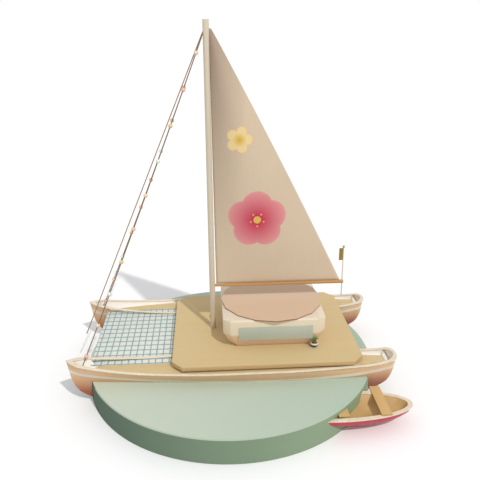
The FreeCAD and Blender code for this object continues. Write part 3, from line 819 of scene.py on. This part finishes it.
# sail with two printed blossoms
sail = {
    "mast": (-17.4, 5.4), "boomZ": 86.3, "boomEnd": 112, "boomDia": (2.6, 3.6), "head": 322.8, "clew": 108.4,
    "gap": 1.2, "off": 0.02, "round": 1.6, "headWide": 1.6, "thick": 0.7,
    "belly": 8.0, "bellyRise": 1.02, "bellyShare": 0.4, "bellySkew": 0.25,
    # x, z, reach, petal and turn of each blossom, then its dots' size, which the small one does without
    "big": (25.9, 154.9, 13.2, 14.4, 90, 0.85), "small": (9.8, 229.8, 7.3, 5.2, 73, -1.0), "dotReach": 6.3,
}


def makeBlossom():
    # five round petals about a centre, in the X-Z plane, sizes in metres
    group, gin, gout = newGroup("blossom", [
        ("Vector", "NodeSocketVector", None),
        ("Reach", "NodeSocketFloat", 0.015),
        ("Petal", "NodeSocketFloat", 0.012),
        ("Turn", "NodeSocketFloat", 90.0),
        ("Dot Reach", "NodeSocketFloat", 0.0063),
        ("Dot", "NodeSocketFloat", 0.0008),
    ], [
        ("Petals", "NodeSocketFloat"),
        ("Radius", "NodeSocketFloat"),
        ("Rim", "NodeSocketFloat"),
        ("Dots", "NodeSocketFloat"),
    ])
    g = Graph(group)
    flat = g.vec("MULTIPLY", gin.outputs["Vector"], (1, 0, 1))
    near, dotNear = None, None
    for k in range(5):
        for reachName, offset in (("Reach", 0), ("Dot Reach", 36)):
            turn = g.math("RADIANS", g.math("ADD", gin.outputs["Turn"], float(72 * k + offset)))
            spot = g.add("ShaderNodeCombineXYZ")
            g.put(spot.inputs["X"], g.times(g.math("COSINE", turn), gin.outputs[reachName]))
            g.put(spot.inputs["Z"], g.times(g.math("SINE", turn), gin.outputs[reachName]))
            gap = g.vec("DISTANCE", flat, spot.outputs[0])
            if offset:
                dotNear = gap if dotNear is None else g.math("MINIMUM", dotNear, gap)
            else:
                near = gap if near is None else g.math("MINIMUM", near, gap)
    edge = g.math("SUBTRACT", near, gin.outputs["Petal"])
    radius = g.vec("LENGTH", flat)
    heart = g.math("LESS_THAN", radius, g.times(gin.outputs["Reach"], 0.6))
    g.put(gout.inputs["Petals"], g.math("MAXIMUM", heart, g.remap(edge, -0.0001, 0.0001, 1.0, 0.0)))
    g.put(gout.inputs["Rim"], g.remap(g.math("DIVIDE", near, gin.outputs["Petal"]), 0.7, 1.0))
    g.put(gout.inputs["Radius"], radius)
    g.put(gout.inputs["Dots"], g.remap(g.math("SUBTRACT", dotNear, gin.outputs["Dot"]), -0.00008, 0.00008, 1.0, 0.0))
    return group


def sailMaterial():
    blossom = makeBlossom()
    mat, g, shader, coords = startMaterial("sailCloth", 0.88, 0.12)
    parts = g.split(coords)
    weave = g.group(clothWeave, Across=parts["X"], Along=parts["Z"], Threads=1300.0)
    slub = g.noise(g.vec("MULTIPLY", coords, (1, 1, 0.05)), 900.0, 2, 0.5)
    cloud = g.noise(coords, 22.0, 3, 0.5)
    tone = g.mix(g.times(weave.outputs["Weave"], 0.16), srgb(212, 192, 166), srgb(192, 170, 144))
    tone = g.mix(g.remap(slub, 0.4, 0.7, 0.0, 0.14), tone, srgb(222, 204, 180))
    tone = g.mix(g.remap(cloud, 0.35, 0.75, 0.0, 0.2), tone, srgb(200, 176, 152))
    # painted shade: the cloth is darker up beside the mast, where the belly turns from the light, and the shade
    # clears down and towards the free edge
    rise = g.remap(parts["Z"], 0.13, 0.32)
    aft = g.math("SUBTRACT", parts["X"], (sail["mast"][0] + sail["mast"][1] / 2) * mm + boatX)
    beside = g.remap(aft, 0.0, g.remap(parts["Z"], 0.1, 0.3, 0.02, 0.034), 1.0, 0.0)
    shade = g.times(g.times(rise, g.math("POWER", beside, 0.8)), 0.72)
    tone = g.mix(shade, tone, srgb(144, 122, 108))
    cells = {}
    for key in ("big", "small"):
        cx, cz, reach, petal, turn, dot = sail[key]
        spot = g.vec("SUBTRACT", coords, (cx * mm + boatX, 0, cz * mm))
        cells[key] = g.group(blossom, Vector=spot, Reach=reach * mm, Petal=petal * mm, Turn=float(turn),
                             Dot_Reach=sail["dotReach"] * mm, Dot=dot * mm)
    big, small = cells["big"].outputs, cells["small"].outputs
    pink = g.mix(g.remap(big["Radius"], 0.003, 0.026), srgb(196, 48, 82), srgb(220, 146, 146))
    pink = g.mix(g.times(g.math("POWER", big["Rim"], 4.0), 0.3), pink, srgb(232, 166, 162))
    gold = g.math("MAXIMUM", big["Dots"], g.remap(big["Radius"], 0.0034, 0.0037, 1.0, 0.0))
    pink = g.mix(gold, pink, srgb(220, 182, 88))
    # printed on the near face, so only a ghost of it shows on the back
    ink = g.remap(g.facing((0, -1, 0)), -0.1, 0.1, 0.4, 1.0)
    tone = g.mix(g.times(big["Petals"], ink), tone, pink)
    yellow = g.mix(g.remap(small["Radius"], 0.0005, 0.0065), srgb(214, 172, 58), srgb(232, 208, 150))
    blush = g.times(g.math("POWER", small["Rim"], 2.0), g.remap(small["Radius"], 0.0035, 0.0055, 0.0, 0.85))
    yellow = g.mix(blush, yellow, srgb(222, 160, 152))
    tone = g.mix(g.times(small["Petals"], ink), tone, yellow)
    g.put(shader.inputs["Base Color"], tone)
    shader.inputs["Sheen Weight"].default_value = 0.1
    addBump(g, shader, g.math("ADD", weave.outputs["Height"], g.times(slub, 0.5)), 0.3, 0.00012)
    return mat


def boomTop(x):
    d = sail
    t = (x - d["mast"][0]) / (d["boomEnd"] - d["mast"][0])
    return d["boomZ"] + (d["boomDia"][0] * (1 - t) + d["boomDia"][1] * t) / 2


def sailPoint(t, s):
    # t from luff to leech, s from foot to head, in boat millimetres
    d = sail
    foot = boomTop(d["clew"])
    z = foot + s * (d["head"] - foot)
    luff = d["mast"][0] + d["mast"][1] / 2 + d["gap"] * (1 - s) + d["off"]
    leech = d["clew"] + s * (luff + d["headWide"] - d["clew"]) + 4 * d["round"] * s * (1 - s)
    wide = leech - luff
    fill = math.sqrt(max(0.0, math.sin(math.pi * min(1, s * d["bellyRise"]))))
    deep = min(d["belly"] * fill, d["bellyShare"] * wide)
    return Vector((luff + t * wide, -deep * math.sin(math.pi * (t + d["bellySkew"] * t * (1 - t))), z))


def makeSail():
    bm = bmesh.new()
    bmesh.ops.create_grid(bm, x_segments=40, y_segments=80, size=0.5, calc_uvs=True)
    for v in bm.verts:
        p = sailPoint(v.co.x + 0.5, v.co.y + 0.5)
        v.co = Vector((p.x * mm + boatX, p.y * mm + boatY, p.z * mm))
    bmesh.ops.reverse_faces(bm, faces=[f for f in bm.faces if f.normal.y > 0])
    obj = finishMesh(bm, "mainSail", [sailMaterial()], recalc=False)
    thicken(obj, sail["thick"])
    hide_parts("sail")


makeSail()
print("sail is cut")

# forestay and bead garlands
lines = {
    "stayTop": (-19.95, 0, 320.4), "stayEnd": (-143.4, 0, 37.9), "stayDia": 1.0,
    "garlandTopZ": 318.4, "garlandEndX": -138.6, "sag": 3.3, "garlandDia": 0.9,
    "beads": 10, "beadDia": 3.9, "holeRoom": 1.04, "dish": 0.25,
}


def lineMaterial(name, light, dark, pitch):
    # two strands laid round each other, as a slanting band along the line, with painted shade in the grooves and
    # painted light on the strands
    mat, g, shader, coords = startMaterial(name, 0.8, 0.2)
    parts = g.split(coords)
    level = g.math("ADD", parts["X"], parts["Y"])
    slant = g.math("ADD", parts["Z"], g.times(level, 1.3))
    band = g.math("SINE", g.times(slant, 2 * math.pi / pitch))
    fuzz = g.noise(coords, 3000.0, 2, 0.6)
    # the dark half of each band is painted shade and the light half painted light
    lit = g.remap(g.math("ADD", band, g.math("SUBTRACT", fuzz, 0.5)), -0.5, 0.6)
    g.put(shader.inputs["Base Color"], g.mix(lit, dark, light))
    addBump(g, shader, g.math("ADD", band, fuzz), 0.5, 0.0002)
    return mat


def makeLine(name, points, diameter, mat, node):
    curve = bpy.data.curves.new(name, "CURVE")
    curve.dimensions = "3D"
    spline = curve.splines.new("NURBS")
    spline.points.add(len(points) - 1)
    for p, q in zip(spline.points, points):
        p.co = (q[0], q[1], q[2], 1)
    spline.order_u = 3
    spline.use_endpoint_u = True
    curve.resolution_u = 24
    curve.bevel_depth = diameter / 2
    curve.bevel_resolution = 3
    curve.use_fill_caps = True
    curve.materials.append(mat)
    obj = newObject(name, curve)
    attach(obj, "root")
    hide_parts(node)
    return obj


def boatPoint(x, y, z):
    return Vector((x * mm + boatX, y * mm + boatY, z * mm))


# in the order that they are strung
beadTones = {
    "bead_cream": ((238, 214, 182), (226, 194, 156)),
    "bead_pink": ((238, 194, 176), (226, 170, 152)),
    "bead_gold": ((232, 204, 152), (216, 182, 122)),
    "bead_mint": ((232, 236, 220), (212, 222, 204)),
}
beadPaint = {k: paintMaterial(k, srgb(*a), srgb(*b), 300.0, 0.35, spec=0.45) for k, (a, b) in beadTones.items()}


def makeBead(name, centre, along, slotName, node):
    # a ball, dished at both ends where the line goes in
    radius = lines["beadDia"] / 2 * mm
    hole = lines["garlandDia"] / 2 * mm * lines["holeRoom"]
    capTop = math.sqrt(radius * radius - 4 * hole * hole)
    bm = bmesh.new()
    bmesh.ops.create_uvsphere(bm, u_segments=24, v_segments=16, radius=radius)
    for sign in (1, -1):
        for v in [v for v in bm.verts if sign * v.co.z > capTop * 1.001]:
            flat = math.hypot(v.co.x, v.co.y)
            v.co.z = sign * (capTop - lines["dish"] * (2 * hole - flat))
    turn = along.to_track_quat("Z", "Y").to_matrix().to_4x4()
    bmesh.ops.transform(bm, matrix=Matrix.Translation(centre) @ turn, verts=bm.verts)
    obj = finishMesh(bm, name, [beadPaint[slotName]])
    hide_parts(node)
    return obj


def makeLines():
    d = lines
    stayMat = lineMaterial("stayLine", srgb(196, 158, 126), srgb(142, 106, 78), 0.0016)
    garlandMat = lineMaterial("garlandLine", srgb(180, 146, 116), srgb(78, 54, 40), 0.0024)
    top, end = boatPoint(*d["stayTop"]), boatPoint(*d["stayEnd"])
    stay = makeLine("foreStay", [top, (top + end) / 2, end], d["stayDia"] * mm, stayMat, "forestay")
    mastX, mastDia = sail["mast"]
    for which, side in (("near", -1), ("far", 1)):
        y = side * hull["spacing"] / 2
        away = Vector((d["garlandEndX"] - mastX, y, 0)).normalized()
        away *= (mastDia + d["garlandDia"]) / 2 + sail["off"]
        top = boatPoint(mastX + away.x, away.y, d["garlandTopZ"])
        end = boatPoint(d["garlandEndX"], y, hull["floor"] + d["garlandDia"] * 0.25)
        pull = (top + end) / 2 - Vector((0, 0, 2 * d["sag"] * mm))
        line = makeLine(which + "GarlandLine", [top, pull, end], d["garlandDia"] * mm, garlandMat,
                        which + "_garland")
        for i in range(d["beads"]):
            t = (i + 0.5) / d["beads"]
            centre = (1 - t) ** 2 * top + 2 * t * (1 - t) * pull + t * t * end
            along = (1 - t) * (pull - top) + t * (end - pull)
            slotName = list(beadTones)[i % len(beadTones)]
            number = "%02d" % (i + 1)
            makeBead(which + "Bead" + number, centre, along, slotName, which + "_bead_" + number)


makeLines()
print("forestay and garlands are strung")


# flag and ball
flag = {"below": 1.4, "taller": 2.2, "wave": 0.18, "waves": 2.2, "thick": 0.3}


def makeFlag():
    d = flag
    low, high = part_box("flag")
    bm = bmesh.new()
    bmesh.ops.create_grid(bm, x_segments=12, y_segments=24, size=0.5)
    for v in bm.verts:
        u, w = v.co.x + 0.5, v.co.y + 0.5
        x = low[0] + u * (high[0] - low[0])
        z = low[2] - d["below"] * mm + w * (high[2] - low[2] + d["taller"] * mm)
        wave = d["wave"] * mm * math.sin(d["waves"] * math.pi * (1 - u)) * (1 - u)
        v.co = Vector((x, (low[1] + high[1]) / 2 + wave, z))
    mat, g, shader, coords = startMaterial("flagPaper", 0.7, 0.2)
    fibre = g.noise(coords, 1800.0, 4, 0.6)
    g.put(shader.inputs["Base Color"], g.mix(g.remap(fibre, 0.3, 0.7), srgb(164, 146, 70), srgb(132, 116, 52)))
    addBump(g, shader, fibre, 0.3, 0.0001)
    obj = finishMesh(bm, "flagSlip", [mat])
    thicken(obj, d["thick"])
    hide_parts("flag")


def makeBall():
    low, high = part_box("flagpole_ball")
    bm = bmesh.new()
    bmesh.ops.create_uvsphere(bm, u_segments=32, v_segments=20, radius=(high[2] - low[2]) / 2)
    bmesh.ops.translate(bm, verts=bm.verts, vec=(Vector(low) + Vector(high)) / 2)
    mat, g, shader, coords = startMaterial("goldBall", 0.3, 0.5)
    scuff = g.noise(coords, 900.0, 3, 0.6)
    g.put(shader.inputs["Base Color"], g.mix(g.remap(scuff, 0.4, 0.7), srgb(206, 164, 76), srgb(176, 136, 52)))
    shader.inputs["Metallic"].default_value = 0.6
    g.put(shader.inputs["Roughness"], g.remap(scuff, 0, 1, 0.22, 0.4))
    obj = finishMesh(bm, "flagBall", [mat])
    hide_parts("flagpole_ball")


makeFlag()
makeBall()
print("flag is up")


# plant pot
pot = {
    "x": 76.8, "y": -45.0, "z": 40.3, "navyTop": 3.0,
    "profile": ((0.0, 0.05), (2.0, 0.0), (2.2, 0.2), (2.75, 1.0), (3.2, 1.9), (3.5, 3.0), (3.62, 4.2), (3.7, 4.45),
                (3.58, 4.6), (3.32, 4.6), (3.2, 4.45), (3.0, 3.6), (0.0, 3.6)),
}


def potGlaze():
    mat, g, shader, coords = startMaterial("potGlaze", 0.18, 0.5)
    parts = g.split(coords)
    rise = g.math("SUBTRACT", parts["Z"], pot["z"] * mm)
    speck = g.noise(coords, 900.0, 3, 0.6)
    navy = g.mix(g.remap(speck, 0.4, 0.7), srgb(34, 48, 82), srgb(52, 70, 106))
    white = g.mix(g.remap(speck, 0.5, 0.8), srgb(240, 240, 234), srgb(218, 220, 212))
    line = pot["navyTop"]
    g.put(shader.inputs["Base Color"], g.mix(g.remap(rise, (line - 0.1) * mm, (line + 0.1) * mm), navy, white))
    g.put(shader.inputs["Roughness"], g.remap(speck, 0, 1, 0.12, 0.3))
    return mat


def makePot():
    d = pot
    bm = bmesh.new()
    verts = [bm.verts.new((r * mm, 0, z * mm)) for r, z in d["profile"]]
    edges = [bm.edges.new(pair) for pair in zip(verts, verts[1:])]
    bmesh.ops.spin(bm, geom=verts + edges, cent=(0, 0, 0), axis=(0, 0, 1), angle=2 * math.pi, steps=40,
                   use_merge=True)
    bmesh.ops.remove_doubles(bm, verts=bm.verts, dist=0.00001)
    bmesh.ops.translate(bm, verts=bm.verts, vec=boatPoint(d["x"], d["y"], d["z"]))
    obj = finishMesh(bm, "plantPot", [potGlaze()])
    obj.data.set_sharp_from_angle(angle=math.radians(50))
    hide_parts("plant_pot")


# a pair is the least and how much more; steps are the strides that mix the leaves' sizes
leaves = {
    "count": 15, "turn": 2.39996, "lean": (0.25, 0.75), "tall": (4.6, 2.2), "wide": (1.5, 0.7), "steps": (7, 4, 11),
    "warm": (3, 8), "stalk": 0.05, "keel": 0.12, "fromCentre": 0.5, "soilZ": 3.9, "soilRound": 2.9, "thick": 0.22,
}


def leafMaterial():
    mat, g, shader, coords = startMaterial("leafGreen", 0.5, 0.35)
    tint = g.add("ShaderNodeAttribute", attribute_name="tint").outputs["Fac"]
    vein = g.noise(g.vec("MULTIPLY", coords, (1, 1, 0.3)), 1500.0, 3, 0.5)
    green = g.mix(g.remap(vein, 0.3, 0.7), srgb(124, 168, 78), srgb(62, 112, 54))
    warm = g.mix(g.remap(vein, 0.3, 0.7), srgb(206, 130, 80), srgb(156, 88, 52))
    soil = srgb(74, 54, 40)
    tone = g.mix(g.remap(tint, 0.9, 1.1), green, warm)
    g.put(shader.inputs["Base Color"], g.mix(g.remap(tint, 1.9, 2.1), tone, soil))
    addBump(g, shader, vein, 0.3, 0.0001)
    return mat


def shapeLeaf(verts, k):
    d = leaves
    part = [(k * step) % d["count"] for step in d["steps"]]
    lean = d["lean"][0] + d["lean"][1] * part[0] / d["count"]
    tall = (d["tall"][0] + d["tall"][1] * part[1] / d["count"]) * mm
    wide = (d["wide"][0] + d["wide"][1] * part[2] / d["count"]) * mm
    for v in verts:
        u, w = v.co.x * 2, v.co.y + 0.5
        half = wide * math.sin(math.pi * min(1, 0.12 + 0.88 * w) ** 0.8) * 0.5 + d["stalk"] * mm
        bend = lean * w ** 1.4
        out = -math.sin(bend) * tall * w + abs(u) * d["keel"] * mm
        v.co = Vector((u * half, out, math.cos(bend * 0.8) * tall * w))


def makePlant():
    d = leaves
    bm = bmesh.new()
    tint = bm.faces.layers.float.new("tint")
    made = bmesh.ops.create_circle(bm, cap_ends=True, segments=24, radius=d["soilRound"] * mm)
    bmesh.ops.translate(bm, verts=made["verts"], vec=(0, 0, d["soilZ"] * mm))
    for f in bm.faces:
        f[tint] = 2.0
    for k in range(d["count"]):
        before = set(bm.faces)
        made = bmesh.ops.create_grid(bm, x_segments=4, y_segments=8, size=0.5)
        shapeLeaf(made["verts"], k)
        turn = k * d["turn"]
        out = d["fromCentre"] * mm
        bmesh.ops.rotate(bm, verts=made["verts"], cent=(0, 0, 0), matrix=Matrix.Rotation(turn, 3, "Z"))
        foot = Vector((math.sin(turn) * out, -math.cos(turn) * out, d["soilZ"] * mm))
        bmesh.ops.translate(bm, verts=made["verts"], vec=foot)
        for f in set(bm.faces) - before:
            f[tint] = 1.0 if k in d["warm"] else 0.0
    bmesh.ops.translate(bm, verts=bm.verts, vec=boatPoint(pot["x"], pot["y"], pot["z"]))
    obj = finishMesh(bm, "pottedPlant", [leafMaterial()], recalc=False)
    thicken(obj, d["thick"])
    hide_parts("plant")


makePot()
makePlant()
print("pot and plant are built")
